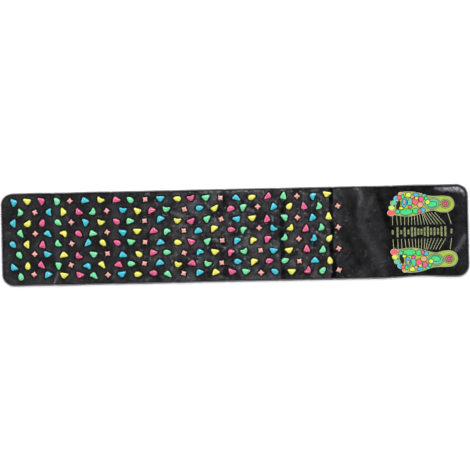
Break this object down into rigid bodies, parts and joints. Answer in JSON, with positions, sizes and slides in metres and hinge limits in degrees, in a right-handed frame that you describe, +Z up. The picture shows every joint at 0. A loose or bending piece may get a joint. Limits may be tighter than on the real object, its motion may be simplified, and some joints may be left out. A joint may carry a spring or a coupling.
{
  "type": "pebble foot massage mat",
  "caption": "Long narrow reflexology mat: coloured plastic pebbles stand through a black PVC leather cover, taped edge, printed foot chart, and accordion folds across it.",
  "frame": {"origin": "on the floor under the middle of the flat mat, at the bottom of its anti-slip backing", "axes": "+X along the mat towards the bare end with the foot chart, +Y across the mat, +Z up from the floor through the pebbles"},
  "size_m": [1.75, 0.35, 0.0144],
  "materials": {
    "pvc_leather": "gloss",
    "pebbled_pad": "gloss",
    "anti_slip_fabric": "matte",
    "binding_tape": "satin",
    "pebble_blue": "gloss",
    "pebble_yellow": "gloss",
    "pebble_pink": "gloss",
    "pebble_green": "gloss",
    "pebble_star": "gloss",
    "foam": "matte",
    "thread": "matte"
  },
  "bodies": {
    "panel_1": {"cover_1": "pvc_leather", "pad_1": "pebbled_pad", "backing_1": "anti_slip_fabric", "binding_1": "binding_tape"},
    "panel_2": {"cover_2": "pvc_leather", "pad_2": "pebbled_pad", "backing_2": "anti_slip_fabric", "binding_2_near": "binding_tape", "binding_2_far": "binding_tape"},
    "panel_3": {"cover_3": "pvc_leather", "pad_3": "pebbled_pad", "backing_3": "anti_slip_fabric", "binding_3_near": "binding_tape", "binding_3_far": "binding_tape"},
    "panel_4": {"cover_4": "pvc_leather", "pad_4": "pebbled_pad", "backing_4": "anti_slip_fabric", "binding_4_near": "binding_tape", "binding_4_far": "binding_tape"},
    "panel_5": {"cover_5": "pvc_leather", "pad_5": "pebbled_pad", "backing_5": "anti_slip_fabric", "binding_5_near": "binding_tape", "binding_5_far": "binding_tape"},
    "panel_6": {"cover_6": "pvc_leather", "pad_6": "pebbled_pad", "backing_6": "anti_slip_fabric", "binding_6_near": "binding_tape", "binding_6_far": "binding_tape"},
    "panel_7": {"cover_7": "pvc_leather", "pad_7": "pebbled_pad", "backing_7": "anti_slip_fabric", "binding_7_near": "binding_tape", "binding_7_far": "binding_tape"},
    "panel_8": {"cover_8": "pvc_leather", "pad_8": "pebbled_pad", "backing_8": "anti_slip_fabric", "binding_8": "binding_tape"}
  },
  "joints": [
    {"name": "crease_1", "type": "hinge", "parent": "panel_1", "child": "panel_2", "pos_m": [-0.681, 0, 0.01465], "axis": [0, -1, 0], "range_deg": [0, 179]},
    {"name": "crease_2", "type": "hinge", "parent": "panel_2", "child": "panel_3", "pos_m": [-0.461, 0, -0.00025], "axis": [0, 1, 0], "range_deg": [0, 179]},
    {"name": "crease_3", "type": "hinge", "parent": "panel_3", "child": "panel_4", "pos_m": [-0.234, 0, 0.01465], "axis": [0, -1, 0], "range_deg": [0, 179]},
    {"name": "crease_4", "type": "hinge", "parent": "panel_4", "child": "panel_5", "pos_m": [-0.033, 0, -0.00025], "axis": [0, 1, 0], "range_deg": [0, 179]},
    {"name": "crease_5", "type": "hinge", "parent": "panel_5", "child": "panel_6", "pos_m": [0.167, 0, 0.01465], "axis": [0, -1, 0], "range_deg": [0, 179]},
    {"name": "crease_6", "type": "hinge", "parent": "panel_6", "child": "panel_7", "pos_m": [0.371, 0, -0.00025], "axis": [0, 1, 0], "range_deg": [0, 179]},
    {"name": "crease_7", "type": "hinge", "parent": "panel_7", "child": "panel_8", "pos_m": [0.59, 0, 0.01465], "axis": [0, -1, 0], "range_deg": [0, 179]}
  ]
}
